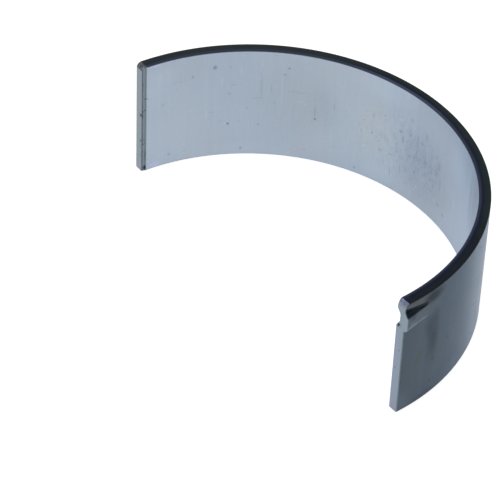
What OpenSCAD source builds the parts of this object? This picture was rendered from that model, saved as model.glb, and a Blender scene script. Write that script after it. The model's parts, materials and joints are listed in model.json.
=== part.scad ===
// Half shell of a split engine bearing, in the free state, before it is pressed into its housing.
// +Z runs along the bore axis, +Y points at the crown, and the origin is the centre of the bearing.

/* [Shell] */
// Diameter of the housing that the shell is pressed into
housing_d = 55; // [45:0.5:70]
// Wall of the shell, steel back and lining together
wall = 1.5; // [1.2:0.05:2.5]
// Width of the shell along the bore axis
width = 16.7; // [12:0.1:30]
// How far the free shell springs open beyond its housing
free_spread = 0.9; // [0.2:0.1:1.6]

/* [Side edges] */
// Chamfer of the bore edge along both side faces
bore_chamfer = 0.05; // [0.05:0.05:0.4]
// Chamfer of the back edge along both side faces
back_chamfer = 0.05; // [0.05:0.05:0.4]

/* [Parting ends] */
// Depth of the bore relief at each parting face
relief_depth = 0.2; // [0.1:0.05:0.4]
// Length of the bore relief along the arc
relief_length = 0.65; // [0.3:0.05:1.5]
// Chamfer of the back edge at each parting face
end_chamfer = 0.05; // [0.05:0.05:0.4]
// Length along the arc of the corner that is cut at each parting face, on the tang's side
corner_length = 0.6; // [0.3:0.05:1.2]
// Height of the cut corners along the bore axis
corner_rise = 0.6; // [0.2:0.05:0.8]

/* [Locating tang] */
// Distance from the upper side face to the middle of the tang
tang_inset = 2.65; // [2.3:0.05:8]
// Width of the tang's flat top
tang_w = 1.8; // [1.3:0.1:2.4]
// Height of the tang over the back at the parting face
tang_h = 0.6; // [0.4:0.05:0.9]
// Length along the arc in which the tang sinks into the back
tang_l = 4; // [2.5:0.1:6]
// Slope of the tang's upper flank, from upright
tang_flank = 48; // [20:1:52]
// Slope of the tang's lower flank, from upright
tang_low_flank = 35; // [20:1:52]
// Radius of the top corners of the tang and of the punch mark
tang_round = 0.25; // [0.1:0.05:0.4]

/* [Punch mark] */
// How far the middle of the mark in the bore lies above the middle of the tang
punch_shift = 0.25; // [0:0.05:0.4]
// Width of the floor of the mark that the punch leaves behind the tang
punch_w = 1.3; // [1:0.1:2]
// Depth of the punch mark at the parting face
punch_depth = 0.75; // [0.2:0.05:0.9]
// Length along the arc in which the punch mark runs out
punch_l = 3.2; // [2:0.1:5]
// Slope of the punch mark's flanks, from upright
punch_flank = 48; // [20:1:52]

/* [Hidden] */

// Facets of a full circle in a preview
$fn = 240;
// Facets of each small corner arc of the tang
round_steps = 6;
// How far a cutting solid reaches past the surface that it cuts
over = 0.6;

free_d = housing_d + free_spread;
r_back = free_d / 2;
r_bore = r_back - wall;
// The strip's length is set by the housing, so the free shell spans less than a half turn
arc = 180 * housing_d / free_d;
half_w = width / 2;
tang_z = half_w - tang_inset;
punch_z = tang_z + punch_shift;

// Section of the wall, radius along x and bore axis along y
module wall_section() {
    polygon([
        [r_bore + bore_chamfer, -half_w],
        [r_back - back_chamfer, -half_w],
        [r_back, -half_w + back_chamfer],
        [r_back, half_w - back_chamfer],
        [r_back - back_chamfer, half_w],
        [r_bore + bore_chamfer, half_w],
        [r_bore, half_w - bore_chamfer],
        [r_bore, -half_w + bore_chamfer]
    ]);
}

// The formed strip, with its crown at +Y
module formed_strip() {
    rotate([0, 0, 90 - arc / 2])
        rotate_extrude(angle = arc)
            wall_section();
}

// Frame of the tang's parting end: x outward along the radius, y into the shell along the arc
module at_tang_end() {
    rotate([0, 0, 90 - arc / 2])
        children();
}

// The same frame at the plain end
module at_plain_end() {
    mirror([1, 0, 0])
        at_tang_end()
            children();
}

// Triangle that cuts a square edge at the origin along the straight line from (a, 0) to (0, b)
module edge_cut(a, b) {
    reach = over / a;
    polygon([
        [-over, -b * reach],
        [a * (1 + reach), -b * reach],
        [-over, b * (1 + reach)]
    ]);
}

// What the relief, the chamfer and the cut corner take off a parting end
module end_cuts() {
    translate([r_bore, 0, -width])
        linear_extrude(2 * width)
            edge_cut(relief_depth, relief_length);
    translate([r_back, 0, -width])
        mirror([1, 0, 0])
            linear_extrude(2 * width)
                edge_cut(end_chamfer, end_chamfer);
    translate([r_bore - over, 0, half_w])
        rotate([90, 0, 90])
            mirror([0, 1, 0])
                linear_extrude(wall + 2 * over)
                    edge_cut(corner_length, corner_rise);
}

// Arc of the corner between a flat top and the flank on the side with the given sign
function corner_arc(top_w, flank, side) =
    let (middle = top_w / 2 - tang_round * tan(45 - flank / 2))
        [
            for (i = [0:round_steps])
                let (a = (90 - flank) * (side > 0 ? i : round_steps - i) / round_steps)
                    [tang_round * (cos(a) - 1), side * (middle + tang_round * sin(a))]
        ];

// Section of a punched bar: a flat top at x = 0, flanks down to the given depth, then a straight foot
module bar_section(top_w, depth, foot, upper, lower) {
    up = top_w / 2 + depth * tan(upper);
    down = -top_w / 2 - depth * tan(lower);
    polygon(concat(
        corner_arc(top_w, upper, 1),
        [[-depth, up], [-depth - foot, up], [-depth - foot, down], [-depth, down]],
        corner_arc(top_w, lower, -1)
    ));
}

// Bar that stands proud of the radius r at the parting face and sinks to it over the given arc length
module punched_bar(r, z, top_w, height, length, foot, upper, lower) {
    turn = 180 * length / (PI * r);
    fall = r + height - r * cos(turn);
    run = r * sin(turn);
    reach = norm([fall, run]) + over;
    translate([r + height, 0, z])
        rotate([0, 0, atan2(fall, run)])
            translate([0, reach, 0])
                rotate([90, 0, 0])
                    linear_extrude(reach + 2 * height + over)
                        bar_section(top_w, height, foot, upper, lower);
}

// The tang outside the middle of the wall, flush with the parting face
module tang() {
    difference() {
        punched_bar(r_back, tang_z, tang_w, tang_h, tang_l, wall, tang_flank, tang_low_flank);
        translate([0, 0, -width])
            cylinder(h = 2 * width, r = r_back - wall / 2);
        translate([0, -r_back, -width])
            cube([2 * r_back, r_back, 2 * width]);
    }
}

// The mark that the punch leaves in the bore
module punch_mark() {
    punched_bar(r_bore, punch_z, punch_w, punch_depth, punch_l, wall, punch_flank, punch_flank);
}

module bearing_shell() {
    color([0.52, 0.56, 0.6])
        difference() {
            union() {
                difference() {
                    formed_strip();
                    at_tang_end() end_cuts();
                    at_plain_end() end_cuts();
                }
                at_tang_end() tang();
            }
            at_tang_end() punch_mark();
        }
}

bearing_shell();
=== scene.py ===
"""Looks of a half shell of a split engine bearing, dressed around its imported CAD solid."""

import json
import logging
import math
from dataclasses import dataclass, field
from enum import IntEnum
from functools import cached_property
from typing import Any

import bmesh
import bpy
from mathutils import Matrix, Vector


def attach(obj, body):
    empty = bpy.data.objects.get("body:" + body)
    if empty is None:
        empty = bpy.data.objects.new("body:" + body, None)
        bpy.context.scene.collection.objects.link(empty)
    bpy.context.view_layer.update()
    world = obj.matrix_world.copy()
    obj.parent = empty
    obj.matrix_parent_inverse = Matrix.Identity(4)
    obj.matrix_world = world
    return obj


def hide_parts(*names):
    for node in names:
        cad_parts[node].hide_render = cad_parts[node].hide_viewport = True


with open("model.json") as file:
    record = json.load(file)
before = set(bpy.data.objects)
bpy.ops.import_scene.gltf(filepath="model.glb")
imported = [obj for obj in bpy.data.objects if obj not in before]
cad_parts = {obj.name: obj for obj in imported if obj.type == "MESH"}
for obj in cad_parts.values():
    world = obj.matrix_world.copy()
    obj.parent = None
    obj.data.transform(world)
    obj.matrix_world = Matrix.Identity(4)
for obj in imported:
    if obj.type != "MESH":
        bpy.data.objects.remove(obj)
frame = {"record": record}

MM = 0.001
MERGE_DISTANCE = 1e-5
BODY = "root"
SHELL_NODE = "bearing_shell"
VALUE = "NodeSocketFloat"
VECTOR = "NodeSocketVector"
WHITE = (1.0, 1.0, 1.0, 1.0)
FIRST_TWO = (1.0, 1.0, 0.0)

Socket = bpy.types.NodeSocket
Colour = tuple[float, float, float, float]
Stretch = tuple[float, float]

log = logging.getLogger("bearing_shell")


class Zone(IntEnum):
    """Surfaces of the shell, in the order of its material slots."""

    BACK = 0
    LINING = 1
    SIDE = 2
    RELIEF = 3
    PARTING = 4
    CORNER = 5


def mount(name: str) -> dict[str, Any]:
    """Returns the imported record's mount of the given name."""
    return next(m for m in frame["record"]["mounts"] if m["name"] == name)


def add_object(name: str, data: bpy.types.ID) -> bpy.types.Object:
    """Puts a mesh, a lamp or a camera into the scene.

    Args:
        name: The object's name.
        data: What the object holds.

    Returns:
        The object.
    """
    made = bpy.data.objects.new(name, data)
    bpy.context.scene.collection.objects.link(made)
    return made


def add_mesh(name: str, work: bmesh.types.BMesh) -> bpy.types.Object:
    """Puts a mesh in work into the scene and frees the work.

    Args:
        name: Name of the object and of its mesh.
        work: The mesh in work, in metres.

    Returns:
        The object.
    """
    mesh = bpy.data.meshes.new(name)
    work.to_mesh(mesh)
    work.free()
    return add_object(name, mesh)


def smooth_min(a: float, b: float, reach: float) -> float:
    """Returns the smaller of a and b, rounded where they come within reach of each other."""
    overlap = max(reach - abs(a - b), 0.0)
    return min(a, b) - overlap * overlap / (4.0 * reach)


def smooth_max(a: float, b: float, reach: float) -> float:
    """Returns the larger of a and b, rounded where they come within reach of each other."""
    return -smooth_min(-a, -b, reach)


@dataclass(frozen=True)
class PressedBar:
    """Bar pressed out of a round wall, highest at the parting face and sinking into the wall, in millimetres.

    Args:
        radius: Radius of the wall that the bar stands out of.
        top_width: Width of the bar's flat top.
        height: Height of the top over the wall at the parting face.
        length: Arc length in which the top sinks into the wall.
        flank_deg: Slope of the upper flank, from upright.
        low_flank_deg: Slope of the lower flank, from upright.
        top_round: Rounding between the top and the flanks.
        root_round: Rounding between the flanks and the wall.
    """

    radius: float
    top_width: float
    height: float
    length: float
    flank_deg: float
    low_flank_deg: float
    top_round: float
    root_round: float

    def lift(self, arc: float, offset: float, floor: float) -> float:
        """Works out how far the bar lifts the wall.

        Args:
            arc: Arc length from the parting face.
            offset: Distance from the bar's middle along the bore axis.
            floor: Height of the wall beside the bar, over its radius.

        Returns:
            The height of the surface over the wall's radius.
        """
        turn = self.length / self.radius
        slope = (self.radius + self.height - self.radius * math.cos(turn)) / (self.radius * math.sin(turn))
        angle = arc / self.radius
        top = (self.radius + self.height) / (math.cos(angle) + slope * math.sin(angle)) - self.radius
        overhang = abs(offset) - self.top_width / 2
        flank_deg = self.flank_deg if offset > 0 else self.low_flank_deg
        flank = top - overhang / math.tan(math.radians(flank_deg))
        return smooth_max(smooth_min(top, flank, self.top_round), floor, self.root_round)


@dataclass(frozen=True)
class Nick:
    """Small dent in the edge or face of a parting end, in millimetres.

    Args:
        height: Place along the bore axis, from the middle of the shell.
        across: Place across the wall, 0 at the bore and 1 at the back.
        size: Radius of the dent.
        depth: Depth of the dent into the end.
    """

    height: float
    across: float
    size: float
    depth: float


@dataclass
class BearingShell:
    """The half shell: a lined steel strip, formed, chamfered and punched.

    Sizes are in millimetres. The facing values are the parts of a face's normal that sort it into its zone,
    and work is the mesh while it is being modelled.
    """

    r_bore: float = mount("journal_bore")["dims"]["r_mm"]
    r_back: float = mount("housing_seat")["pos_m"][1] / MM
    half_width: float = mount("upper_side_face")["pos_m"][2] / MM
    bore_wall: float = mount("journal_bore")["dims"]["length_mm"]
    end_turn: float = math.atan2(
        mount("tang_parting_face")["axis"][0], -mount("tang_parting_face")["axis"][1]
    )
    back_chamfer: float = 0.05
    edge_break: float = 0.012
    relief_depth: float = 0.2
    relief_length: float = 0.65
    end_chamfer: float = 0.05
    corner_length: float = 0.6
    corner_rise: float = 0.6
    corner_lean: float = 0.4
    corner_margin: float = 0.5
    tang_inset: float = 2.65
    tang: PressedBar = PressedBar(
        radius=r_back, top_width=1.8, height=0.6, length=4.0,
        flank_deg=48.0, low_flank_deg=35.0, top_round=0.1, root_round=0.06,
    )
    punch_shift: float = 0.25
    punch_mark: PressedBar = PressedBar(
        radius=r_bore, top_width=1.3, height=0.75, length=3.2,
        flank_deg=48.0, low_flank_deg=48.0, top_round=0.2, root_round=0.06,
    )
    past_tang: float = 0.5
    cells_across: int = 6
    cell_height: float = 0.1
    main_step: float = 0.7
    fine_step: float = 0.09
    sharp_deg: float = 32.0
    facing: float = 0.9
    corner_facing: float = 0.5
    bore_facing: float = 0.8
    plain_nicks: tuple[Nick, ...] = (
        Nick(3.3, 0.05, 0.2, 0.1),
        Nick(0.7, 0.15, 0.3, 0.12),
        Nick(-3.5, 0.15, 0.3, 0.12),
        Nick(-4.3, 0.1, 0.25, 0.1),
        Nick(-5.8, 0.15, 0.22, 0.08),
    )
    tang_nicks: tuple[Nick, ...] = (
        Nick(4.85, 0.2, 0.3, 0.2),
        Nick(1.1, 0.7, 0.2, 0.08),
        Nick(-1.75, 0.4, 0.2, 0.06),
    )
    work: bmesh.types.BMesh = field(init=False, repr=False)

    @property
    def wall(self) -> float:
        """Thickness of the wall."""
        return self.r_back - self.r_bore

    @property
    def r_middle(self) -> float:
        """Radius of the middle of the wall."""
        return (self.r_bore + self.r_back) / 2

    @property
    def bore_chamfer(self) -> float:
        """Chamfer of the bore's edges along both side faces."""
        return self.half_width - self.bore_wall / 2

    @property
    def span(self) -> float:
        """Turn of the shell from one parting face to the other, in radians."""
        return math.pi - 2 * self.end_turn

    @property
    def tang_height(self) -> float:
        """Place of the tang's middle along the bore axis."""
        return self.half_width - self.tang_inset

    def build(self) -> bpy.types.Object:
        """Models the shell.

        Returns:
            The shell's object, with a face zone for each material slot.
        """
        self.work = bmesh.new()
        self._make_section()
        self._form_strip()
        for at_tang in (True, False):
            self._cut_corner(at_tang)
        bmesh.ops.recalc_face_normals(self.work, faces=self.work.faces)
        self._mark_zones()
        self._press_ends()
        bmesh.ops.recalc_face_normals(self.work, faces=self.work.faces)
        for face in self.work.faces:
            face.smooth = True
        bmesh.ops.scale(self.work, vec=(MM, MM, MM), verts=self.work.verts)
        shell = add_mesh("shell_body", self.work)
        shell.data.set_sharp_from_angle(angle=math.radians(self.sharp_deg))
        shell.modifiers.new("even_normals", "WEIGHTED_NORMAL").keep_sharp = True
        return shell

    def _everything(self) -> list[Any]:
        """Returns every vertex, edge and face of the mesh in work."""
        return self.work.verts[:] + self.work.edges[:] + self.work.faces[:]

    def _make_section(self) -> None:
        """Lays out the wall's section at the tang's parting face, and chamfers and breaks its edges."""
        width = 2 * self.half_width
        rows = round(width / self.cell_height)
        bmesh.ops.create_grid(self.work, x_segments=self.cells_across, y_segments=rows, size=0.5)
        upright = Matrix(((self.wall, 0, 0, self.r_middle), (0, 0, 1, 0), (0, width, 0, 0), (0, 0, 0, 1)))
        bmesh.ops.transform(self.work, matrix=upright, verts=self.work.verts)
        edges = ((self.r_bore, 1, self.bore_chamfer), (self.r_back, -1, self.back_chamfer))
        for radius, inward, chamfer in edges:
            for side in (1, -1):
                self._chamfer_section(radius, inward, side, chamfer)
        turn = Matrix.Rotation(self.end_turn, 4, "Z")
        bmesh.ops.transform(self.work, matrix=turn, verts=self.work.verts)

    def _chamfer_section(self, radius: float, inward: int, side: int, chamfer: float) -> None:
        """Cuts one edge of the section at 45 degrees and breaks the two edges that this leaves.

        Args:
            radius: Radius of the wall at the edge.
            inward: Sign of the radial direction from the edge into the wall.
            side: Sign of the side face.
            chamfer: Width of the chamfer.
        """
        on_wall = Vector((radius, 0, side * (self.half_width - chamfer)))
        on_side = Vector((radius + inward * chamfer, 0, side * self.half_width))
        cuts = ((on_wall, 45.0, 0.0), (on_wall, 22.5, self.edge_break), (on_side, 67.5, self.edge_break))
        for point, tilt_deg, depth in cuts:
            tilt = math.radians(tilt_deg)
            normal = Vector((-inward * math.cos(tilt), 0, side * math.sin(tilt)))
            self._slice(self._everything(), point - normal * depth, normal)

    def _slice(self, geometry: list[Any], point: Vector, normal: Vector) -> list[Any]:
        """Cuts part of the mesh along a plane and takes off what lies beyond it.

        Args:
            geometry: The vertices, edges and faces to cut.
            point: Point of the plane.
            normal: Direction from the plane to what is taken off.

        Returns:
            What lies on the cut.
        """
        cut = bmesh.ops.bisect_plane(
            self.work,
            geom=geometry,
            dist=MERGE_DISTANCE,
            plane_co=point,
            plane_no=normal,
            clear_outer=True,
        )
        return cut["geom_cut"]

    def _form_strip(self) -> None:
        """Sweeps the section round the bore axis, in fine steps near the two ends."""
        near_end = (self.end_chamfer, self.relief_length - self.end_chamfer)
        tang_run = self.tang.length + self.past_tang - self.relief_length
        plain_run = self.corner_length
        whole = self.span * self.r_back
        main_run = whole - 2 * sum(near_end) - tang_run - plain_run
        stretches = [(run, self.fine_step) for run in (*near_end, tang_run)]
        stretches.append((main_run, self.main_step))
        stretches.extend((run, self.fine_step) for run in (plain_run, *reversed(near_end)))
        last = self._everything()
        for run, step in stretches:
            swept = bmesh.ops.spin(
                self.work,
                geom=last,
                cent=(0, 0, 0),
                axis=(0, 0, 1),
                angle=run / self.r_back,
                steps=math.ceil(run / step),
                use_merge=False,
                use_duplicate=False,
            )
            last = swept["geom_last"]
        bmesh.ops.remove_doubles(self.work, verts=self.work.verts, dist=MERGE_DISTANCE)

    def _arc_from(self, point: Vector, at_tang: bool) -> float:
        """Returns the arc length along the back from a parting face to a point."""
        turn = math.atan2(point.y, point.x) - self.end_turn
        return (turn if at_tang else self.span - turn) * self.r_back

    def _cut_corner(self, at_tang: bool) -> None:
        """Breaks the corner between a parting face and the upper side face, in two facets that round it.

        Args:
            at_tang: True at the tang's end and False at the plain end.
        """
        turn = self.end_turn if at_tang else math.pi - self.end_turn
        into = 1.0 if at_tang else -1.0
        along = Vector((-math.sin(turn), math.cos(turn), 0)) * into
        corner = Vector((self.r_middle * math.cos(turn), self.r_middle * math.sin(turn), self.half_width))
        on_parting = corner - Vector((0, 0, self.corner_rise))
        on_side = corner + along * self.corner_length
        for point, lean in ((on_parting, self.corner_lean), (on_side, 1 - self.corner_lean)):
            normal = Vector((0, 0, lean * self.corner_length)) - along * ((1 - lean) * self.corner_rise)
            rim = self._slice(self._near_corner(at_tang), point, normal.normalized())
            edges = [part for part in rim if isinstance(part, bmesh.types.BMEdge)]
            bmesh.ops.edgeloop_fill(self.work, edges=edges)

    def _near_corner(self, at_tang: bool) -> list[Any]:
        """Finds the part of the mesh round an upper corner.

        Args:
            at_tang: True at the tang's end and False at the plain end.

        Returns:
            The vertices, edges and faces that lie near the corner.
        """
        low = self.half_width - self.corner_rise - self.corner_margin
        reach = self.corner_length + self.corner_margin
        near = {v: True for v in self.work.verts if v.co.z > low and self._arc_from(v.co, at_tang) < reach}
        edges = [e for e in self.work.edges if all(v in near for v in e.verts)]
        faces = [f for f in self.work.faces if all(v in near for v in f.verts)]
        return list(near) + edges + faces

    def _mark_zones(self) -> None:
        """Gives each face the material slot of its surface, before the tang is pressed."""
        for face in self.work.faces:
            centre = face.calc_center_median()
            outward = Vector((centre.x, centre.y, 0)).normalized()
            radial = face.normal.dot(outward)
            upright = abs(face.normal.z)
            from_end = min(self._arc_from(centre, True), self._arc_from(centre, False))
            if math.hypot(radial, upright) < self.facing:
                face.material_index = Zone.CORNER if upright > self.corner_facing else Zone.PARTING
            elif radial > self.facing:
                face.material_index = Zone.BACK
            elif radial > -self.bore_facing:
                face.material_index = Zone.SIDE
            else:
                face.material_index = Zone.LINING if from_end > self.relief_length else Zone.RELIEF

    def _press_ends(self) -> None:
        """Relieves the ends of the bore and the back, presses out the tang and dents the parting faces."""
        for vert in self.work.verts:
            height = vert.co.z
            across = (math.hypot(vert.co.x, vert.co.y) - self.r_bore) / self.wall
            from_tang = self._arc_from(vert.co, True)
            from_plain = self._arc_from(vert.co, False)
            from_end = min(from_tang, from_plain)
            relief = max(self.relief_depth * (1 - from_end / self.relief_length), 0.0)
            chamfer = max(self.end_chamfer - from_end, 0.0)
            low = self.r_bore + relief
            high = self.r_back - chamfer
            if from_tang < self.tang.length + self.past_tang:
                offset = height - self.tang_height
                in_bore = from_tang * self.r_bore / self.r_back
                low = self.r_bore + self.punch_mark.lift(in_bore, offset - self.punch_shift, relief)
                high = self.r_back + self.tang.lift(from_tang, offset, -chamfer)
            radius = low + (high - low) * across
            turn = math.atan2(vert.co.y, vert.co.x)
            nicks, sense = (self.tang_nicks, 1.0) if from_tang < from_plain else (self.plain_nicks, -1.0)
            if from_end < self.relief_length:
                turn += sense * self._dent(nicks, height, across, from_end) / self.r_back
            vert.co.x = radius * math.cos(turn)
            vert.co.y = radius * math.sin(turn)

    def _dent(self, nicks: tuple[Nick, ...], height: float, across: float, from_end: float) -> float:
        """Works out how far the nicks of an end push a point into the shell.

        Args:
            nicks: The nicks of that end.
            height: Place of the point along the bore axis.
            across: Place of the point across the wall.
            from_end: Arc length from the parting face.

        Returns:
            The arc length by which the point moves.
        """
        fade = 1 - from_end / self.relief_length
        pushed = 0.0
        for nick in nicks:
            away = math.hypot(height - nick.height, (across - nick.across) * self.wall) / nick.size
            pushed += nick.depth * max(1 - away * away, 0.0)
        return pushed * fade


class Graph:
    """Node tree of a material, a group or the world, with short calls that add and link nodes."""

    def __init__(self, tree: bpy.types.NodeTree) -> None:
        """Keeps the tree that the calls add to."""
        self.tree = tree

    def node(self, kind: str, inputs: dict[Any, Any] | None = None, **settings: Any) -> bpy.types.Node:
        """Adds a node.

        Args:
            kind: The node's type.
            inputs: Socket name or number to a constant or to the socket that feeds it.
            **settings: Properties of the node itself.

        Returns:
            The new node.
        """
        made = self.tree.nodes.new(kind)
        for name, value in settings.items():
            setattr(made, name, value)
        for key, value in (inputs or {}).items():
            if isinstance(value, Socket):
                self.tree.links.new(value, made.inputs[key])
            else:
                made.inputs[key].default_value = value
        return made

    def math(self, operation: str, first: Any, second: Any = 0.0) -> Socket:
        """Adds a Math node and returns its result."""
        return self.node("ShaderNodeMath", {0: first, 1: second}, operation=operation).outputs[0]

    def times(self, first: Any, second: Any) -> Socket:
        """Multiplies two values."""
        return self.math("MULTIPLY", first, second)

    def vector(self, operation: str, first: Any, second: Any) -> Socket:
        """Adds a Vector Math node and returns its vector."""
        inputs = {0: first, 1: second}
        return self.node("ShaderNodeVectorMath", inputs, operation=operation).outputs["Vector"]

    def length(self, vector: Any) -> Socket:
        """Returns the length of a vector."""
        return self.node("ShaderNodeVectorMath", {0: vector}, operation="LENGTH").outputs["Value"]

    def parts(self, vector: Socket) -> Any:
        """Returns the sockets of a vector's three parts."""
        return self.node("ShaderNodeSeparateXYZ", {0: vector}).outputs

    def joined(self, first: Socket, second: Socket, third: Socket) -> Socket:
        """Joins three values into a vector."""
        return self.node("ShaderNodeCombineXYZ", {0: first, 1: second, 2: third}).outputs[0]

    def total(self, start: float, *parts: tuple[Any, float]) -> Any:
        """Adds weighted values up.

        Args:
            start: Value with nothing added.
            *parts: Pairs of a socket and its weight.

        Returns:
            The sum's socket.
        """
        result: Any = start
        for value, weight in parts:
            inputs = {0: value, 1: weight, 2: result}
            result = self.node("ShaderNodeMath", inputs, operation="MULTIPLY_ADD").outputs[0]
        return result

    def fade(self, value: Any, low: float, high: float, to_low: float = 0.0, to_high: float = 1.0) -> Socket:
        """Maps a value smoothly, so that low gives the first result and high the second."""
        inputs = {"Value": value, "From Min": low, "From Max": high, "To Min": to_low, "To Max": to_high}
        return self.node("ShaderNodeMapRange", inputs, interpolation_type="SMOOTHSTEP").outputs["Result"]

    def noise(self, vector: Any, detail: float = 2.0, rough: float = 0.5) -> Socket:
        """Adds a noise of unit scale and returns its value, about 0.5 on average."""
        inputs = {"Vector": vector, "Scale": 1.0, "Detail": detail, "Roughness": rough}
        return self.node("ShaderNodeTexNoise", inputs).outputs["Fac"]

    def blend(self, factor: Any, first: Any, second: Any) -> Socket:
        """Mixes two colours by the share of the second, on the sockets that a Mix node keeps for colours."""
        return self.node("ShaderNodeMix", {0: factor, 6: first, 7: second}, data_type="RGBA").outputs[2]

    def tinted(self, colour: Any, tone: Any) -> Socket:
        """Returns a colour made paler or darker by a factor."""
        inputs = {0: colour, "Scale": tone}
        return self.node("ShaderNodeVectorMath", inputs, operation="SCALE").outputs["Vector"]

    def group(self, tree: bpy.types.NodeTree, **inputs: Any) -> Socket:
        """Places a group and returns its output."""
        return self.node("ShaderNodeGroup", inputs, node_tree=tree).outputs[0]


def rgb(red: float, green: float, blue: float) -> Colour:
    """Turns a screen colour of 0 to 255 into the linear colour that shaders take."""
    parts = (v / 255 for v in (red, green, blue))
    linear = (v / 12.92 if v <= 0.04045 else ((v + 0.055) / 1.055) ** 2.4 for v in parts)
    return (*linear, 1.0)


@dataclass
class SurfaceGroups:
    """Shader groups that the finishes share, each made when first asked for. Lengths are in millimetres.

    A core is the share of a mark that is full. A pair of sizes is the least one and what chance adds to it.
    """

    shell: BearingShell
    line_detail: float = 3.0
    line_rough: float = 0.6
    scatter: float = 0.85
    mark_sizes: tuple[float, float] = (0.6, 0.8)
    mark_core: float = 0.3
    spot_core: float = 0.2
    border_waves: float = 0.9
    border_sizes: tuple[float, float] = (0.4, 1.2)

    def _start(self, name: str, inputs: dict[str, str], output: str, kind: str = VALUE) -> tuple[Graph, Any]:
        """Starts a group.

        Args:
            name: The group's name.
            inputs: Input name to socket type.
            output: Name of the output.
            kind: Socket type of the output.

        Returns:
            The group's graph and the sockets of its inputs.
        """
        tree = bpy.data.node_groups.new(name, "ShaderNodeTree")
        for socket, socket_kind in inputs.items():
            tree.interface.new_socket(socket, in_out="INPUT", socket_type=socket_kind)
        tree.interface.new_socket(output, in_out="OUTPUT", socket_type=kind)
        graph = Graph(tree)
        return graph, graph.node("NodeGroupInput").outputs

    def _end(self, graph: Graph, result: Socket) -> bpy.types.NodeTree:
        """Closes a group with its one result and returns its tree."""
        graph.node("NodeGroupOutput", {0: result})
        return graph.tree

    @cached_property
    def unrolled(self) -> bpy.types.NodeTree:
        """The group that gives a point's place on the flat strip that the shell was formed from.

        Returns:
            A group whose vector holds the arc from the tang's end, the height and the radius.
        """
        graph, _ = self._start("unrolled_strip", {}, "Strip", VECTOR)
        place = graph.node("ShaderNodeTexCoord").outputs["Object"]
        x, y, z = graph.parts(place)
        turn = graph.math("SUBTRACT", graph.math("ARCTAN2", y, x), self.shell.end_turn)
        radius = graph.length(graph.vector("MULTIPLY", place, FIRST_TWO))
        height = graph.math("DIVIDE", z, MM)
        strip = graph.joined(graph.times(turn, self.shell.r_back), height, graph.math("DIVIDE", radius, MM))
        return self._end(graph, strip)

    @cached_property
    def lines(self) -> bpy.types.NodeTree:
        """The group of fine lines that a tool draws along a surface.

        Returns:
            A group whose value swings about zero. Lay is how many lines lie in a millimetre along each axis.
        """
        graph, given = self._start("drawn_lines", {"Strip": VECTOR, "Lay": VECTOR}, "Lines")
        laid = graph.vector("MULTIPLY", given["Strip"], given["Lay"])
        lines = graph.noise(laid, self.line_detail, self.line_rough)
        return self._end(graph, graph.math("SUBTRACT", lines, 0.5))

    @cached_property
    def marks(self) -> bpy.types.NodeTree:
        """The group of small marks strewn over a surface.

        Returns:
            A group whose value is 1 inside a mark. Each cell of the given size holds a mark with the
            given chance, and Size is the mark's reach as a share of the cell.
        """
        sockets = {"Strip": VECTOR, "Cell": VECTOR, "Share": VALUE, "Size": VALUE}
        graph, given = self._start("strewn_marks", sockets, "Marks")
        scaled = graph.vector("DIVIDE", given["Strip"], given["Cell"])
        inputs = {"Vector": scaled, "Scale": 1.0, "Randomness": self.scatter}
        cells = graph.node("ShaderNodeTexVoronoi", inputs, voronoi_dimensions="2D").outputs
        draw = graph.node("ShaderNodeSeparateColor", {0: cells["Color"]}).outputs
        chosen = graph.math("LESS_THAN", draw["Red"], given["Share"])
        least, more = self.mark_sizes
        reach = graph.times(given["Size"], graph.total(least, (draw["Green"], more)))
        away = graph.math("DIVIDE", cells["Distance"], reach)
        return self._end(graph, graph.times(graph.fade(away, 1.0, self.mark_core), chosen))

    @cached_property
    def spot(self) -> bpy.types.NodeTree:
        """The group of one soft spot at a given place.

        Returns:
            A group whose value is 1 at the place and falls to 0 at the reach along each axis.
        """
        graph, given = self._start("soft_spot", {"Strip": VECTOR, "Place": VECTOR, "Reach": VECTOR}, "Inside")
        beside = graph.vector("SUBTRACT", given["Strip"], given["Place"])
        share = graph.vector("DIVIDE", beside, given["Reach"])
        away = graph.length(graph.vector("MULTIPLY", share, FIRST_TWO))
        return self._end(graph, graph.fade(away, 1.0, self.spot_core))

    @cached_property
    def edge(self) -> bpy.types.NodeTree:
        """The group of an uneven border along the two long edges of the strip.

        Returns:
            A group whose value is 1 at an edge and falls to 0 at about the reach.
        """
        graph, given = self._start("long_edges", {"Strip": VECTOR, "Reach": VALUE}, "Border")
        height = graph.parts(given["Strip"])["Y"]
        inward = graph.math("SUBTRACT", self.shell.half_width, graph.math("ABSOLUTE", height))
        waves = (self.border_waves, self.border_waves, 0.0)
        uneven = graph.noise(graph.vector("MULTIPLY", given["Strip"], waves), self.line_detail)
        least, more = self.border_sizes
        reach = graph.times(given["Reach"], graph.total(least, (uneven, more)))
        return self._end(graph, graph.fade(graph.math("DIVIDE", inward, reach), 1.0, 0.0))

    @cached_property
    def end(self) -> bpy.types.NodeTree:
        """The group that gives a point's place at the nearer parting end.

        Returns:
            A group whose vector holds the place across the wall from the bore, below zero at the plain
            end, the height and the arc length from the parting face.
        """
        graph, given = self._start("end_face", {"Strip": VECTOR}, "Face", VECTOR)
        arc, height, radius = graph.parts(given["Strip"])
        beyond = graph.math("SUBTRACT", self.shell.span * self.shell.r_back, arc)
        side = graph.math("SIGN", graph.math("SUBTRACT", beyond, arc))
        across = graph.times(graph.math("SUBTRACT", radius, self.shell.r_bore), side)
        return self._end(graph, graph.joined(across, height, graph.math("MINIMUM", arc, beyond)))


@dataclass(frozen=True)
class Spot:
    """One soft mark on a surface, in millimetres.

    Args:
        along: Place along the arc from the tang's end or, on a parting face, across the wall from the bore,
            below zero at the plain end.
        height: Place along the bore axis from the middle.
        reach_along: Half length in the first direction.
        reach_height: Half length along the bore axis.
        tone: Share by which the surface gets paler, or darker if below zero, or takes on a colour.
    """

    along: float
    height: float
    reach_along: float
    reach_height: float
    tone: float = 1.0


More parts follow.
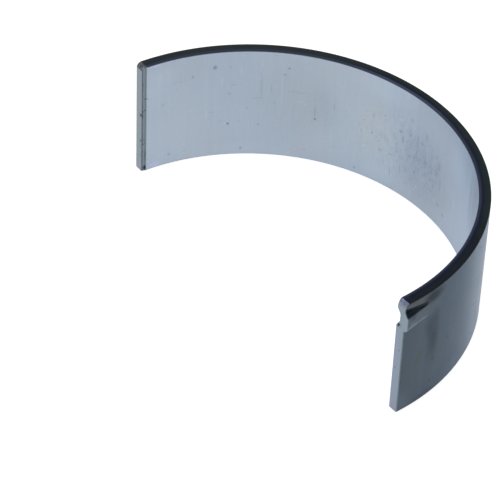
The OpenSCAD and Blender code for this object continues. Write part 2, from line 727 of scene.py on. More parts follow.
def spots_at(*rows: tuple[float, float, float, float, float]) -> tuple[Spot, ...]:
    """Makes spots from rows of their values, in the order that Spot lists them."""
    return tuple(Spot(*row) for row in rows)


class Surface(Graph):
    """Graph of one finish, which knows where a point lies on the strip that the shell was formed from."""

    def __init__(self, tree: bpy.types.NodeTree, groups: SurfaceGroups) -> None:
        """Keeps the tree and the shared groups, and places the unrolled strip."""
        super().__init__(tree)
        self.groups = groups
        self.strip = self.group(groups.unrolled)

    def face(self) -> Socket:
        """Returns the place at the nearer parting end: across the wall, height and arc from the end."""
        return self.group(self.groups.end, Strip=self.strip)

    def lines(self, arc: float, height: float, radius: float = 0.0) -> Socket:
        """Draws lines, given how many lie in a millimetre along each axis."""
        return self.group(self.groups.lines, Strip=self.strip, Lay=(arc, height, radius))

    def marks(self, cell: tuple[float, float], share: float, size: float) -> Socket:
        """Strews marks, given the cell's size, the chance of a mark in it and the mark's share of it."""
        return self.group(self.groups.marks, Strip=self.strip, Cell=(*cell, 1.0), Share=share, Size=size)

    def border(self, reach: float) -> Socket:
        """Marks an uneven border of the given reach along the two long edges."""
        return self.group(self.groups.edge, Strip=self.strip, Reach=reach)

    def inside(self, spot: Spot, place: Any = None) -> Socket:
        """Marks one soft spot.

        Args:
            spot: The spot.
            place: Socket of the place that the spot is given in, the unrolled strip if left out.

        Returns:
            The spot's mask.
        """
        strip = self.strip if place is None else place
        at = (spot.along, spot.height, 0.0)
        reach = (spot.reach_along, spot.reach_height, 1.0)
        return self.group(self.groups.spot, Strip=strip, Place=at, Reach=reach)

    def spots(self, spots: tuple[Spot, ...], place: Any = None) -> list[tuple[Socket, float]]:
        """Marks soft spots, and returns pairs of a mask and its tone."""
        return [(self.inside(spot, place), spot.tone) for spot in spots]


@dataclass(frozen=True)
class Look:
    """What a finish feeds its shader: colour, roughness and the height of its relief in millimetres."""

    colour: Socket
    roughness: Socket
    relief: Socket


@dataclass(frozen=True)
class Finish:
    """Finish of one zone of the shell.

    A stretch is a pair of values between which a colour or a mark comes in.

    Args:
        groups: The shader groups that the finishes share.
        metallic: Share of bare metal, the rest being dull.
        grazing: Tint of what the metal mirrors where it is seen at a low angle.
        roughness: Roughness without its marks.
    """

    groups: SurfaceGroups
    metallic: float = 1.0
    grazing: Colour = WHITE
    roughness: float = 0.4

    def make(self, name: str) -> bpy.types.Material:
        """Builds the material.

        Args:
            name: The material's name.

        Returns:
            The material.
        """
        material = bpy.data.materials.new(name)
        material.use_nodes = True
        paint = Surface(material.node_tree, self.groups)
        look = self.dress(paint)
        bump = paint.node("ShaderNodeBump", {"Height": look.relief, "Distance": MM, "Strength": 1.0})
        shader = paint.tree.nodes["Principled BSDF"].inputs
        shader["Metallic"].default_value = self.metallic
        shader["Specular Tint"].default_value = self.grazing
        fed = {"Base Color": look.colour, "Roughness": look.roughness, "Normal": bump.outputs["Normal"]}
        for socket, value in fed.items():
            paint.tree.links.new(value, shader[socket])
        return material

    def dress(self, paint: Surface) -> Look:
        """Builds the finish's colour, roughness and relief.

        Args:
            paint: The material's graph.

        Returns:
            The sockets that feed the shader.
        """
        raise NotImplementedError


@dataclass(frozen=True)
class LiningFinish(Finish):
    """Matt grey lining of the bore, bored along the axis, with pits, scratches and one rubbed patch."""

    roughness: float = 0.46
    grey: Colour = rgb(159, 172, 186)
    warm: Colour = rgb(163, 173, 185)
    lilac: Colour = rgb(168, 173, 196)
    cool: Colour = rgb(151, 168, 190)
    # Lilac of a painted highlight and a painted shadow tint near the plain end.
    painted_lilac: Colour = rgb(172, 178, 202)
    sand: Colour = rgb(168, 176, 180)
    rim: float = 0.2
    rim_blue: Colour = rgb(70, 84, 97)
    drift: tuple[float, float, float] = (0.09, 0.05, 0.0)
    cooling: Stretch = (44.0, 26.0)
    patch_cooling: Stretch = (51.0, 45.0)
    patch_cool: float = 0.5
    pit_depth: float = 0.03
    patch: Spot = Spot(47.0, -0.8, 12.5, 9.0)
    sandy: Spot = Spot(53.0, 0.0, 5.0, 7.5, 0.38)
    bands: tuple[Spot, ...] = spots_at(
        (87.0, 1.0, 15.0, 30.0, 0.06), (54.0, 1.0, 6.5, 30.0, 0.02),
        (65.0, 1.0, 7.0, 10.0, -0.06), (43.5, -2.5, 7.5, 8.5, -0.16),
        # The band at arc 26.6 is painted shade: an upright dark band where the lining turns away.
        (37.5, -1.5, 5.0, 8.0, -0.05), (26.6, 2.0, 5.0, 14.0, -0.2),
        (82.5, 6.3, 3.0, 1.8, 0.03), (85.0, 5.0, 4.0, 5.0, 0.06),
        (35.5, 5.0, 3.5, 5.0, 0.08), (51.0, 7.0, 6.5, 3.2, 0.07),
        (52.0, -6.8, 3.5, 2.2, 0.05), (72.0, -8.2, 13.0, 2.5, 0.05),
        (60.5, 0.5, 3.5, 5.5, -0.05),
    )
    # A painted highlight at the lining's upper corner by the plain end, and a painted shadow tint at its
    # lower corner.
    painted_lilac_spots: tuple[Spot, ...] = spots_at(
        (84.3, 7.95, 1.3, 0.28, 0.9), (84.4, -7.8, 1.4, 0.7, 0.8),
    )
    pits: tuple[Spot, ...] = spots_at(
        (75.8, 5.95, 0.45, 0.45, -0.36), (65.65, 5.9, 0.22, 0.22, -0.4),
        (78.9, 4.9, 0.3, 0.35, -0.2), (73.85, -3.25, 0.24, 0.24, -0.55),
        (74.25, -3.2, 0.18, 0.18, 0.2), (71.95, -7.35, 0.28, 0.35, -0.3),
        (69.6, -3.4, 0.28, 0.24, -0.2), (71.2, -0.8, 0.22, 0.3, -0.16),
        (61.75, -1.5, 0.22, 0.26, -0.45), (66.25, 4.85, 0.5, 0.28, -0.16),
        (55.6, -7.5, 0.22, 0.3, -0.3), (83.25, 1.5, 0.3, 0.5, -0.14),
        (82.25, -6.8, 0.4, 0.35, -0.18), (85.65, 3.27, 0.32, 0.15, -0.42),
        (85.0, 3.0, 0.14, 0.2, -0.2), (85.5, -6.6, 0.2, 0.14, -0.25),
        (85.55, -6.3, 0.14, 0.16, 0.15), (85.5, -7.4, 0.14, 0.14, -0.2),
        (46.65, 2.0, 0.18, 0.32, -0.28), (40.0, -5.1, 0.22, 0.35, -0.28),
        (41.0, -5.0, 0.25, 0.22, 0.22), (38.65, -5.9, 0.4, 0.4, -0.2),
        (51.3, 2.8, 0.18, 0.2, -0.25), (48.6, 3.5, 0.2, 0.3, 0.16),
        (48.5, 1.65, 0.5, 0.35, -0.25), (53.2, -0.8, 0.2, 0.3, -0.25),
        (53.6, -0.7, 0.16, 0.18, 0.18), (51.7, -2.9, 0.35, 0.22, -0.25),
        (50.0, -2.85, 0.5, 0.18, -0.2), (45.5, -3.3, 0.18, 0.35, -0.25),
        (44.9, -5.4, 0.25, 0.2, 0.2), (45.4, -6.0, 0.2, 0.2, 0.16),
        (49.0, -1.9, 0.22, 0.25, -0.2), (46.7, -1.3, 0.45, 0.2, -0.16),
        (46.7, 4.4, 0.35, 0.4, -0.12), (46.5, 3.6, 0.2, 0.25, 0.12),
        (45.7, -0.1, 0.16, 0.35, 0.15), (42.2, -2.5, 0.3, 0.25, -0.13),
        (54.6, 0.7, 0.25, 0.3, -0.14), (52.5, -1.2, 0.18, 0.2, -0.22),
        (52.0, -1.6, 0.2, 0.2, -0.15), (51.0, 2.6, 0.16, 0.16, 0.16),
        (54.3, -3.3, 0.55, 0.25, 0.1),
    )
    streaks: tuple[Spot, ...] = spots_at(
        (66.5, 2.6, 0.18, 5.5, 0.07), (74.8, 3.7, 0.16, 1.3, 0.09),
        (76.9, -1.5, 0.15, 1.2, 0.09), (72.2, 5.2, 0.16, 1.2, 0.09),
        (69.35, 2.6, 0.2, 2.9, -0.13), (68.0, 2.5, 0.16, 1.1, -0.1),
        (67.5, 0.2, 0.16, 0.6, -0.1), (69.9, 0.85, 1.3, 0.14, -0.1),
        (64.3, 2.3, 2.0, 0.16, -0.09), (63.8, 0.85, 1.0, 0.13, 0.08),
        (73.2, 3.0, 0.7, 0.16, -0.11), (73.8, 1.7, 0.7, 0.14, -0.09),
        (79.1, -0.4, 1.2, 0.13, 0.08), (76.2, -1.2, 0.6, 0.14, -0.1),
        (74.8, -2.8, 0.5, 0.12, -0.11), (72.4, -2.95, 0.45, 0.12, -0.11),
        (81.0, 4.5, 2.4, 0.16, -0.07), (61.8, -0.4, 0.16, 1.2, -0.14),
        (59.1, 1.3, 0.2, 0.9, -0.1), (53.1, 2.1, 0.16, 0.7, -0.2),
        (40.9, 0.2, 0.4, 1.9, -0.1), (49.9, -5.6, 0.18, 1.3, -0.13),
        (48.2, -4.2, 0.18, 1.3, -0.13), (48.0, 0.6, 0.3, 0.9, -0.17),
        (43.6, 0.0, 0.16, 1.4, -0.15), (43.6, 3.4, 0.35, 0.9, -0.13),
        (45.3, 2.0, 0.18, 1.0, -0.14), (35.9, -2.0, 0.2, 1.0, 0.1),
        (30.2, 3.0, 0.8, 5.5, -0.12), (49.0, -0.9, 0.2, 1.0, -0.13),
        (46.55, 0.5, 0.16, 1.1, -0.13), (44.1, 1.95, 0.7, 0.18, -0.13),
        (41.2, 1.8, 0.35, 0.6, -0.13), (40.4, 0.8, 0.24, 1.3, -0.15),
        (40.6, -0.5, 0.5, 0.2, -0.12), (39.9, -1.9, 0.22, 1.1, -0.13),
        (42.0, -4.0, 0.6, 0.2, -0.13), (41.6, -3.1, 0.18, 0.5, -0.13),
        (42.1, -1.2, 0.3, 0.5, -0.11), (45.2, -1.1, 0.16, 0.6, -0.11),
        (44.4, -0.6, 0.4, 0.15, -0.11), (54.9, -1.1, 0.2, 0.45, -0.13),
        (36.2, -2.9, 0.18, 0.7, 0.1), (36.6, -2.9, 0.18, 0.9, -0.09),
    )

    def dress(self, paint: Surface) -> Look:
        """Builds the lining's colour, roughness and relief.

        Args:
            paint: The material's graph.

        Returns:
            The sockets that feed the shader.
        """
        arc, height, _ = paint.parts(paint.strip)
        edge = self.groups.shell.half_width
        dark = paint.fade(height, edge - self.rim, edge - self.rim / 2)
        drift = paint.noise(paint.vector("MULTIPLY", paint.strip, self.drift))
        cloud = paint.lines(0.3, 0.25)
        grain = paint.lines(5.0, 0.3)
        fine = paint.lines(2.4, 2.4)
        streaks = paint.lines(1.2, 0.06)
        specks = paint.marks((2.1, 2.1), 0.15, 0.06)
        upright = paint.marks((0.9, 9.0), 0.15, 0.09)
        level = paint.marks((9.0, 1.1), 0.12, 0.06)
        chips = paint.times(paint.marks((0.5, 0.4), 0.4, 0.35), paint.border(0.3))
        patch = paint.inside(self.patch)
        wear_and_sheen = paint.times(paint.lines(1.1, 0.7), patch)
        rubbed = paint.times(paint.marks((0.6, 1.8), 0.5, 0.25), patch)
        bright = paint.times(paint.marks((1.1, 1.1), 0.25, 0.12), patch)
        winding = paint.fade(paint.math("ABSOLUTE", paint.lines(0.75, 0.3)), 0.03, 0.008)
        broken = paint.fade(paint.lines(0.5, 0.5), 0.0, 0.08)
        scored = paint.times(paint.times(winding, broken), patch)
        pits = paint.spots(self.pits)
        tone = paint.total(
            1.0, (cloud, 0.09), (grain, 0.1), (fine, 0.1), (streaks, 0.08), (specks, -0.18), (upright, 0.05),
            (level, 0.07), (wear_and_sheen, 0.25), (scored, -0.09), (rubbed, -0.05), (bright, 0.1), (chips, -0.25),
            *paint.spots(self.bands), *pits, *paint.spots(self.streaks),
        )
        roughness = paint.total(self.roughness, (grain, 0.1), (cloud, 0.08), (rubbed, 0.06), (upright, -0.06))
        sunk = ((mask, pit_tone * self.pit_depth) for mask, pit_tone in pits)
        relief = paint.total(0.0, (grain, 0.004), (specks, -0.006), (rubbed, -0.004), *sunk)
        colour = paint.blend(paint.fade(drift, 0.35, 0.65), self.grey, self.warm)
        colour = paint.blend(paint.fade(arc, *self.cooling), colour, self.cool)
        # Painted sheen: lilac along the upper edge, where the edge catches light.
        upper = paint.times(paint.border(0.8), paint.fade(height, 0.0, 1.0))
        colour = paint.blend(paint.times(upper, paint.fade(cloud, -0.12, 0.2)), colour, self.lilac)
        sandy = paint.times(paint.inside(self.sandy), self.sandy.tone)
        colour = paint.blend(sandy, colour, self.sand)
        lower = paint.times(patch, paint.fade(arc, *self.patch_cooling))
        colour = paint.blend(paint.times(lower, self.patch_cool), colour, self.cool)
        # Painted highlight and painted shadow tint in lilac at the corners by the plain end.
        colour = paint.blend(paint.total(0.0, *paint.spots(self.painted_lilac_spots)), colour, self.painted_lilac)
        return Look(paint.blend(dark, paint.tinted(colour, tone), self.rim_blue), roughness, relief)


@dataclass(frozen=True)
class BackFinish(Finish):
    """Dull slate steel of the back, with upright bands and specked edges, and the tang's shaded flank.

    The foot is how far painted shade reaches up the back from the root of that flank, and the rub is the
    rubbed line along the tang's lower edge, real wear brightened into a painted highlight.
    """

    grazing: Colour = (0.81, 0.89, 0.97, 1.0)
    roughness: float = 0.34
    near: Colour = rgb(69, 78, 87)
    middle: Colour = rgb(57, 65, 79)
    away: Colour = rgb(82, 91, 107)
    slate: Colour = rgb(64, 73, 83)
    dun: Colour = rgb(73, 77, 82)
    plum: Colour = rgb(60, 66, 82)
    olive: Colour = rgb(66, 75, 76)
    neutral: Colour = rgb(70, 73, 75)
    shade: Colour = rgb(52, 65, 81)
    burr: Colour = rgb(98, 112, 124)
    to_middle: Stretch = (3.0, 10.0)
    to_away: Stretch = (11.0, 18.0)
    to_rest: Stretch = (21.0, 30.0)
    to_olive: Stretch = (14.0, 8.0)
    to_burr: Stretch = (0.22, 0.06)
    # Painted shade: foot bounds the shaded upper flank above its root, and the stretch after foot_blur
    # deepens the shade at the root.
    foot: float = 0.44
    foot_blur: float = 0.06
    foot_shade: Stretch = (-0.15, 0.0)
    flank_edge: Stretch = (-0.05, 0.03)
    flank_tip: float = 0.8
    # Place and reach of the painted highlight along the rubbed lower edge of the tang.
    rub_inset: float = 0.1
    rub_reach: Stretch = (0.24, 0.1)
    rub_end: float = 3.0
    smears: tuple[Spot, ...] = spots_at(
        (5.3, 1.4, 1.5, 5.0, -0.38), (5.0, -1.0, 1.8, 4.5, -0.16),
        (4.85, 7.4, 2.4, 1.35, -0.85), (4.2, 3.0, 1.0, 2.6, -0.28),
        (5.4, 3.9, 1.0, 1.7, -0.14), (3.0, 6.75, 1.0, 0.4, -0.35),
        (0.9, 7.7, 1.3, 0.5, 0.25), (2.4, 7.8, 0.8, 0.5, 0.12),
        (0.9, 5.0, 1.1, 0.85, 0.4), (1.15, 6.25, 0.8, 0.55, -0.45),
        (0.3, -7.8, 2.6, 3.4, 0.3), (4.6, -7.9, 3.2, 0.7, -0.2),
        (9.5, -7.5, 3.5, 2.0, 0.12), (44.0, 1.0, 7.0, 5.0, -0.14),
        (47.5, 3.0, 3.0, 2.0, -0.1), (63.0, -2.0, 5.0, 4.0, -0.1),
    )
    over_tang: Spot = Spot(2.0, 7.5, 3.4, 2.6)

    def dress(self, paint: Surface) -> Look:
        """Builds the back's colour, roughness and relief.

        Args:
            paint: The material's graph.

        Returns:
            The sockets that feed the shader.
        """
        arc, height, _ = paint.parts(paint.strip)
        from_end = paint.parts(paint.face())["Z"]
        bands = paint.lines(0.33, 0.02)
        cloud = paint.lines(0.5, 0.25)
        grain = paint.lines(7.0, 3.0)
        rolled = paint.lines(0.15, 4.0)
        stains = paint.marks((2.6, 2.6), 0.25, 0.12)
        flecks = paint.marks((0.5, 0.5), 0.4, 0.32)
        chips = paint.times(flecks, paint.border(0.35))
        rim = paint.times(paint.border(0.25), paint.fade(height, 0.0, 1.0))
        # Painted shade on the tang's upper flank and at its root, and a painted highlight on the rubbed lower
        # edge.
        upper, foot_shade, lower = self._flanks(paint)
        rubbed = paint.times(paint.total(0.5, (flecks, 1.0)), lower)
        tone = paint.total(
            1.0, (bands, 0.25), (cloud, 0.16), (grain, 0.16), (rolled, 0.08), (stains, -0.1), (rim, -0.5),
            (chips, 0.6), (upper, -0.4), (foot_shade, -0.72), (rubbed, 1.4), *paint.spots(self.smears),
        )
        roughness = paint.total(self.roughness, (cloud, 0.14), (grain, 0.16), (stains, 0.08), (chips, -0.06))
        relief = paint.total(0.0, (grain, 0.004), (rolled, 0.003), (chips, -0.006))
        uneven = paint.total(0.0, (arc, 1.0), (cloud, 4.0))
        colour = paint.blend(paint.fade(uneven, *self.to_middle), self.near, self.middle)
        colour = paint.blend(paint.fade(uneven, *self.to_away), colour, self.away)
        colour = paint.blend(paint.fade(bands, 0.05, 0.3), colour, self.plum)
        mossy = paint.times(paint.fade(cloud, 0.0, 0.25), paint.fade(arc, *self.to_olive))
        colour = paint.blend(mossy, colour, self.olive)
        rest = paint.blend(paint.fade(paint.lines(0.1, 0.08), -0.1, 0.12), self.slate, self.dun)
        colour = paint.blend(paint.fade(uneven, *self.to_rest), colour, rest)
        colour = paint.blend(paint.inside(self.over_tang), colour, self.neutral)
        # Painted shade: the tang's upper flank takes the shade colour.
        colour = paint.blend(upper, colour, self.shade)
        edge = paint.fade(paint.total(0.0, (from_end, 1.0), (cloud, 0.2)), *self.to_burr)
        return Look(paint.blend(edge, paint.tinted(colour, tone), self.burr), roughness, relief)

    def _flanks(self, paint: Surface) -> tuple[Socket, Socket, Socket]:
        """Marks the painted shade on the tang's upper flank, deepest along its foot, and the painted
        highlight on its rubbed lower edge.

        Args:
            paint: The material's graph.

        Returns:
            The masks of the flank with its foot, of the foot alone and of the lower edge.
        """
        shell = self.groups.shell
        arc, height, _ = paint.parts(paint.strip)
        corner = shell.tang.top_width / 2
        flank = shell.tang.height * math.tan(math.radians(shell.tang.flank_deg))
        offset = paint.math("SUBTRACT", height, shell.tang_height)
        root = paint.total(-corner - flank, (offset, 1.0), (arc, flank / shell.tang.length))
        above = paint.fade(offset, *(corner + blur for blur in self.flank_edge))
        upper = paint.times(above, paint.fade(root, self.foot + self.foot_blur, self.foot - self.foot_blur))
        upper = paint.times(upper, paint.fade(arc, shell.tang.length, shell.tang.length - self.flank_tip))
        # Painted shade, deepest at the root of the flank.
        foot_shade = paint.times(upper, paint.fade(root, *self.foot_shade))
        # Painted highlight along the rubbed lower edge.
        from_edge = paint.math("ABSOLUTE", paint.total(corner - self.rub_inset, (offset, 1.0)))
        along = paint.fade(arc, shell.tang.length, self.rub_end)
        return upper, foot_shade, paint.times(paint.fade(from_edge, *self.rub_reach), along)


@dataclass(frozen=True)
class SideFinish(Finish):
    """Turned side face, near black as a painted reflection of dark surroundings, with lines round the axis,
    paler along the bore as a painted highlight on the chamfer, and paler at the plain end.
    """

    roughness: float = 0.3
    # The near-black colours are a painted reflection of the dark surroundings that the machined face mirrors.
    near_outer: Colour = rgb(68, 79, 88)
    outer: Colour = rgb(80, 95, 96)
    far_outer: Colour = rgb(91, 100, 103)
    inner: Colour = rgb(63, 73, 104)
    far_inner: Colour = rgb(88, 100, 117)
    # bore_edge and bore_blue are the painted highlight on the bore's chamfer.
    bore_edge: Colour = rgb(112, 126, 146)
    bore_blue: Colour = rgb(136, 147, 184)
    violet: Colour = rgb(76, 82, 132)
    to_outer: Stretch = (13.0, 22.0)
    to_far: Stretch = (50.0, 66.0)
    to_bore_edge: Stretch = (52.0, 59.0)
    outer_across: Stretch = (0.35, 0.65)
    # Reach and spread of the painted highlight on the bore's chamfer.
    sheen_reach: Stretch = (0.5, 0.2)
    sheen_from: Stretch = (36.0, 44.0)
    sheen_least: float = 0.45
    blued: tuple[Spot, ...] = spots_at(
        (0.7, 8.35, 1.2, 1.0, 1.0), (85.6, 8.35, 2.2, 1.0, 0.7),
    )

    def dress(self, paint: Surface) -> Look:
        """Builds the side face's colour, roughness and relief.

        Args:
            paint: The material's graph.

        Returns:
            The sockets that feed the shader.
        """
        shell = self.groups.shell
        arc, _, radius = paint.parts(paint.strip)
        turned = paint.lines(0.03, 0.0, 9.0)
        cloud = paint.lines(0.4, 0.0, 0.6)
        nicks = paint.marks((2.4, 2.4), 0.1, 0.06)
        tone = paint.total(1.0, (turned, 0.5), (cloud, 0.3), (nicks, 0.6))
        roughness = paint.total(self.roughness, (turned, 0.15), (cloud, 0.1))
        relief = paint.total(0.0, (turned, 0.006))
        plain = paint.fade(arc, *self.to_far)
        blued = paint.total(0.0, *paint.spots(self.blued))
        inner = paint.blend(blued, paint.blend(plain, self.inner, self.far_inner), self.violet)
        outer = paint.blend(paint.fade(arc, *self.to_outer), self.near_outer, self.outer)
        across = paint.total(0.0, (radius, 1.0), (cloud, 0.9))
        outward = paint.fade(across, *(shell.r_bore + share * shell.wall for share in self.outer_across))
        colour = paint.blend(outward, inner, paint.blend(plain, outer, self.far_outer))
        inset = paint.total(-shell.r_bore, (radius, 1.0), (cloud, 0.3))
        # Painted highlight on the bore's chamfer, stronger towards the plain end.
        clear = paint.total(self.sheen_least, (paint.fade(arc, *self.sheen_from), 1.0 - self.sheen_least))
        wear_and_sheen = paint.times(paint.fade(inset, *self.sheen_reach), clear)
        edge = paint.blend(paint.fade(arc, *self.to_bore_edge), self.bore_blue, self.bore_edge)
        return Look(paint.tinted(paint.blend(wear_and_sheen, colour, edge), tone), roughness, relief)


@dataclass(frozen=True)
class PartingFinish(Finish):
    """Broached metal of the parting faces, with lines along the bore axis, blotches and small dents."""

    near: Colour = rgb(127, 142, 152)
    lilac: Colour = rgb(130, 141, 160)
    far: Colour = rgb(126, 139, 149)
    green: Colour = rgb(127, 139, 143)
    # foot is a painted shadow tint, lilac, towards the bottom of the faces.
    foot: Colour = rgb(138, 141, 160)
    lilac_across: Stretch = (1.1, 0.85)
    lilac_below: Stretch = (4.6, 3.0)
    foot_below: Stretch = (-6.8, -7.8)
    nicks: tuple[Spot, ...] = spots_at(
        (1.2, 7.0, 0.12, 0.16, -0.25), (1.02, 6.1, 0.12, 0.15, -0.4),
        # The spot 0.48 across and 4.8 high is painted shadow in the lower step of the punch mark.
        (1.19, 5.9, 0.1, 0.12, -0.3), (0.48, 4.8, 0.24, 0.5, -0.85),
        (1.05, 1.15, 0.22, 0.14, -0.5), (0.6, -1.75, 0.15, 0.22, -0.4),
        (-0.45, 0.62, 0.27, 0.36, -0.6), (-0.45, -3.5, 0.25, 0.22, -0.4),
        (-0.3, -4.5, 0.2, 0.3, -0.3), (-0.35, -5.0, 0.17, 0.22, 0.15),
        (-0.35, -5.8, 0.15, 0.22, -0.25),
    )

    def dress(self, paint: Surface) -> Look:
        """Builds the parting face's colour, roughness and relief.

        Args:
            paint: The material's graph.

        Returns:
            The sockets that feed the shader.
        """
        face = paint.face()
        across, height, _ = paint.parts(face)
        broached = paint.lines(0.0, 0.15, 6.0)
        blotches = paint.lines(0.0, 0.9, 1.4)
        grain = paint.lines(0.0, 6.0, 9.0)
        level = paint.total(0.0, (height, 1.0), (blotches, 2.0))
        inward = paint.fade(paint.total(0.0, (across, 1.0), (blotches, 0.6)), *self.lilac_across)
        low = paint.fade(level, *self.lilac_below)
        near = paint.blend(paint.times(inward, low), self.near, self.lilac)
        far = paint.blend(paint.fade(blotches, -0.1, 0.15), self.far, self.green)
        colour = paint.blend(paint.math("LESS_THAN", across, 0.0), near, far)
        # Painted shadow: a lilac tint towards the bottom of the faces.
        colour = paint.blend(paint.fade(level, *self.foot_below), colour, self.foot)
        nicks = paint.spots(self.nicks, face)
        tone = paint.total(1.0, (broached, 0.3), (blotches, 0.2), (grain, 0.14), *nicks)
        roughness = paint.total(self.roughness, (broached, 0.14), (blotches, 0.1))
        relief = paint.total(0.0, (broached, 0.008), (grain, 0.004))
        return Look(paint.tinted(colour, tone), roughness, relief)


@dataclass(frozen=True)
class ReliefFinish(Finish):
    """Scraped metal of the bore reliefs, with a dark line along each of their two long edges and nicks."""

    near: Colour = rgb(120, 133, 144)
    far: Colour = rgb(115, 127, 137)
    lip: Stretch = (0.22, 0.1)
    seam: Stretch = (0.12, 0.02)
    seam_share: float = 0.75
    nicks: tuple[Spot, ...] = spots_at(
        (85.95, 3.3, 0.18, 0.16, -0.5), (86.25, 1.3, 0.18, 0.18, -0.5),
        (85.95, 1.5, 0.2, 0.16, -0.5), (86.3, 0.6, 0.18, 0.4, -0.3),
        (86.05, -3.3, 0.14, 0.18, -0.3), (86.0, -3.8, 0.14, 0.2, -0.3),
        (86.2, -4.0, 0.18, 0.2, -0.5), (86.3, -5.2, 0.16, 0.25, -0.3),
        (85.9, -5.8, 0.16, 1.4, -0.3), (85.98, -7.8, 0.3, 0.6, -0.75),
    )

    def dress(self, paint: Surface) -> Look:
        """Builds the relief's colour, roughness and height.

        Args:
            paint: The material's graph.

        Returns:
            The sockets that feed the shader.
        """
        across, _, from_end = paint.parts(paint.face())
        scraped = paint.lines(6.0, 0.3)
        blotches = paint.lines(1.5, 0.8)
        uneven = paint.total(0.0, (from_end, 1.0), (blotches, 0.25))
        lip = paint.fade(uneven, *self.lip)
        from_seam = paint.math("SUBTRACT", uneven, self.seam_share * self.groups.shell.relief_length)
        seam = paint.fade(paint.math("ABSOLUTE", from_seam), *self.seam)
        nicks = paint.spots(self.nicks)
        tone = paint.total(1.0, (lip, -0.46), (seam, -0.22), (scraped, 0.2), (blotches, 0.2), *nicks)
        roughness = paint.total(self.roughness, (scraped, 0.14), (blotches, 0.1))
        relief = paint.total(0.0, (scraped, 0.006), (lip, -0.01))
        colour = paint.blend(paint.math("LESS_THAN", across, 0.0), self.near, self.far)
        return Look(paint.tinted(colour, tone), roughness, relief)


@dataclass(frozen=True)
class CornerFinish(Finish):
    """Dull metal of the cut corners, lilac at the tang's end, where the lilac is a painted highlight, and
    mottled grey at the plain end.
    """

    metallic: float = 0.3
    roughness: float = 0.5
    # near is the lilac of a painted highlight on the tang end's corner.
    near: Colour = rgb(148, 156, 190)
    foot: Colour = rgb(158, 170, 186)
    far: Colour = rgb(116, 122, 130)
    to_foot: Stretch = (0.45, 0.8)
    mottles: tuple[Spot, ...] = spots_at(
        (0.42, 8.27, 0.28, 0.13, 0.45), (0.7, 8.2, 0.2, 0.12, 0.2),
        (-0.25, 8.1, 0.25, 0.2, 1.1), (-0.6, 7.9, 0.2, 0.15, 0.6),
        (-0.85, 8.0, 0.25, 0.25, -0.45), (-1.1, 8.25, 0.2, 0.12, 0.5),
        (-1.4, 7.95, 0.2, 0.3, -0.5),
    )

    def dress(self, paint: Surface) -> Look:
        """Builds the corner's colour, roughness and relief.

        Args:
            paint: The material's graph.

        Returns:
            The sockets that feed the shader.
        """
        shell = self.groups.shell
        face = paint.face()
        across, height, _ = paint.parts(face)
        plain = paint.math("LESS_THAN", across, 0.0)
        mottled = paint.lines(2.0, 2.0, 2.0)
        grain = paint.lines(6.0, 6.0, 6.0)
        swing = paint.times(mottled, paint.total(0.8, (plain, 1.6)))
        tone = paint.total(1.0, (swing, 1.0), (grain, 0.7), *paint.spots(self.mottles, face))
        roughness = paint.total(self.roughness, (mottled, 0.2))
        relief = paint.total(0.0, (mottled, 0.02), (grain, 0.01))
        depth = paint.total(shell.half_width, (height, -1.0), (mottled, 0.3))
        low = paint.fade(depth, *(share * shell.corner_rise for share in self.to_foot))
        # Painted highlight: the tang end's corner takes the lilac near colour.
        colour = paint.blend(plain, paint.blend(low, self.near, self.foot), self.far)
        return Look(paint.tinted(colour, tone), roughness, relief)


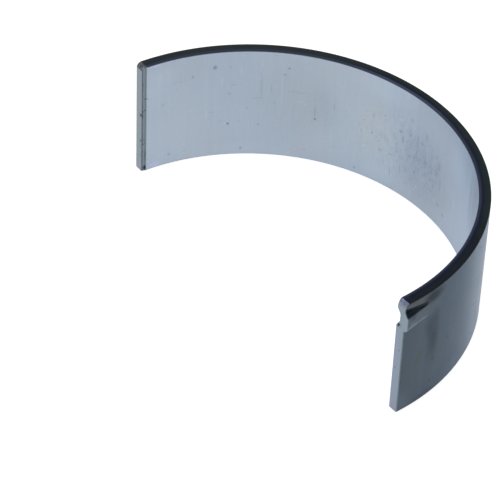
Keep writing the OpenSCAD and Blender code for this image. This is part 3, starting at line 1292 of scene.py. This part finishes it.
@dataclass
class Studio:
    """Pale floor, soft light and the photograph's camera. Lengths are in millimetres.

    The sky dims from the horizon up to a rise, and clip is what the camera sees, from near to far.
    """

    floor_height: float
    floor_gap: float = 0.01
    floor_reach: float = 2500.0
    floor_grey: float = 0.9
    floor_glow: float = 0.75
    lamp_size: float = 1400.0
    lamp_height: float = 3000.0
    lamp_power: float = 25.0
    sky_rise: float = 0.35
    sky_dim: float = 0.2
    distance: float = 335.4
    azimuth_deg: float = 53.35
    elevation_deg: float = 40.01
    roll_deg: float = 2.37
    lens: float = 191.3
    aim: tuple[float, float] = (-5.80, 3.39)
    clip: tuple[float, float] = (10.0, 10000.0)

    def build(self) -> None:
        """Sets up the floor, the lights, the world and the camera."""
        self._make_floor()
        self._make_world()
        self._make_lights()
        self._make_camera()
        view = bpy.context.scene.view_settings
        view.view_transform = "Standard"
        view.look = "None"

    def _make_floor(self) -> None:
        """Lays the floor under the shell."""
        work = bmesh.new()
        bmesh.ops.create_grid(work, x_segments=1, y_segments=1, size=self.floor_reach * MM)
        bmesh.ops.translate(work, vec=(0, 0, (self.floor_height - self.floor_gap) * MM), verts=work.verts)
        floor = add_mesh("floor", work)
        material = bpy.data.materials.new("pale_floor")
        material.use_nodes = True
        values = {
            "Base Color": (self.floor_grey, self.floor_grey, self.floor_grey, 1.0),
            "Roughness": 0.9,
            "Specular IOR Level": 0.0,
            "Emission Color": WHITE,
            "Emission Strength": self.floor_glow,
        }
        for socket, value in values.items():
            material.node_tree.nodes["Principled BSDF"].inputs[socket].default_value = value
        floor.data.materials.append(material)

    def _make_world(self) -> None:
        """Makes a sky that is bright at the horizon and dim overhead."""
        world = bpy.data.worlds.new("studio")
        bpy.context.scene.world = world
        world.use_nodes = True
        graph = Graph(world.node_tree)
        up = graph.parts(graph.node("ShaderNodeTexCoord").outputs["Generated"])["Z"]
        sky = graph.tree.nodes["Background"].inputs
        sky["Color"].default_value = WHITE
        graph.tree.links.new(graph.fade(up, 0.0, self.sky_rise, 1.0, self.sky_dim), sky["Strength"])

    def _make_lights(self) -> None:
        """Hangs a soft box over the shell."""
        data = bpy.data.lights.new("overhead", "AREA")
        data.shape = "DISK"
        data.size = self.lamp_size * MM
        data.energy = self.lamp_power
        lamp = add_object("overhead", data)
        lamp.location = (0.0, 0.0, self.lamp_height * MM)
        lamp.visible_glossy = False

    def _make_camera(self) -> None:
        """Stands the camera where the photograph was taken from."""
        azimuth = math.radians(self.azimuth_deg)
        elevation = math.radians(self.elevation_deg)
        roll = math.radians(self.roll_deg)
        level = Vector((-math.sin(azimuth), math.cos(azimuth), 0.0))
        forward = level * math.cos(elevation) - Vector((0, 0, math.sin(elevation)))
        right = Vector((math.cos(azimuth), math.sin(azimuth), 0.0))
        up = right.cross(forward)
        across = right * math.cos(roll) + up * math.sin(roll)
        above = up * math.cos(roll) - right * math.sin(roll)
        aim = Vector((*self.aim, self.floor_height))
        data = bpy.data.cameras.new("photo_camera")
        data.lens = self.lens
        data.clip_start, data.clip_end = (distance * MM for distance in self.clip)
        camera = add_object("photo_camera", data)
        turned = Matrix((across, above, -forward)).transposed().to_4x4()
        camera.matrix_world = Matrix.Translation((aim - forward * self.distance) * MM) @ turned
        bpy.context.scene.camera = camera


def main() -> None:
    """Builds the shell and the studio."""
    logging.basicConfig(level=logging.INFO, format="%(name)s: %(message)s")
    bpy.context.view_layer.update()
    shell = BearingShell()
    piece = shell.build()
    groups = SurfaceGroups(shell)
    finishes = {
        Zone.BACK: BackFinish(groups),
        Zone.LINING: LiningFinish(groups),
        Zone.SIDE: SideFinish(groups),
        Zone.RELIEF: ReliefFinish(groups),
        Zone.PARTING: PartingFinish(groups),
        Zone.CORNER: CornerFinish(groups),
    }
    for zone in Zone:
        piece.data.materials.append(finishes[zone].make(f"shell_{zone.name.lower()}"))
    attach(piece, BODY)
    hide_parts(SHELL_NODE)
    log.info("%s: %d faces", piece.name, len(piece.data.polygons))
    Studio(floor_height=-shell.half_width).build()


if __name__ == "__main__":
    main()
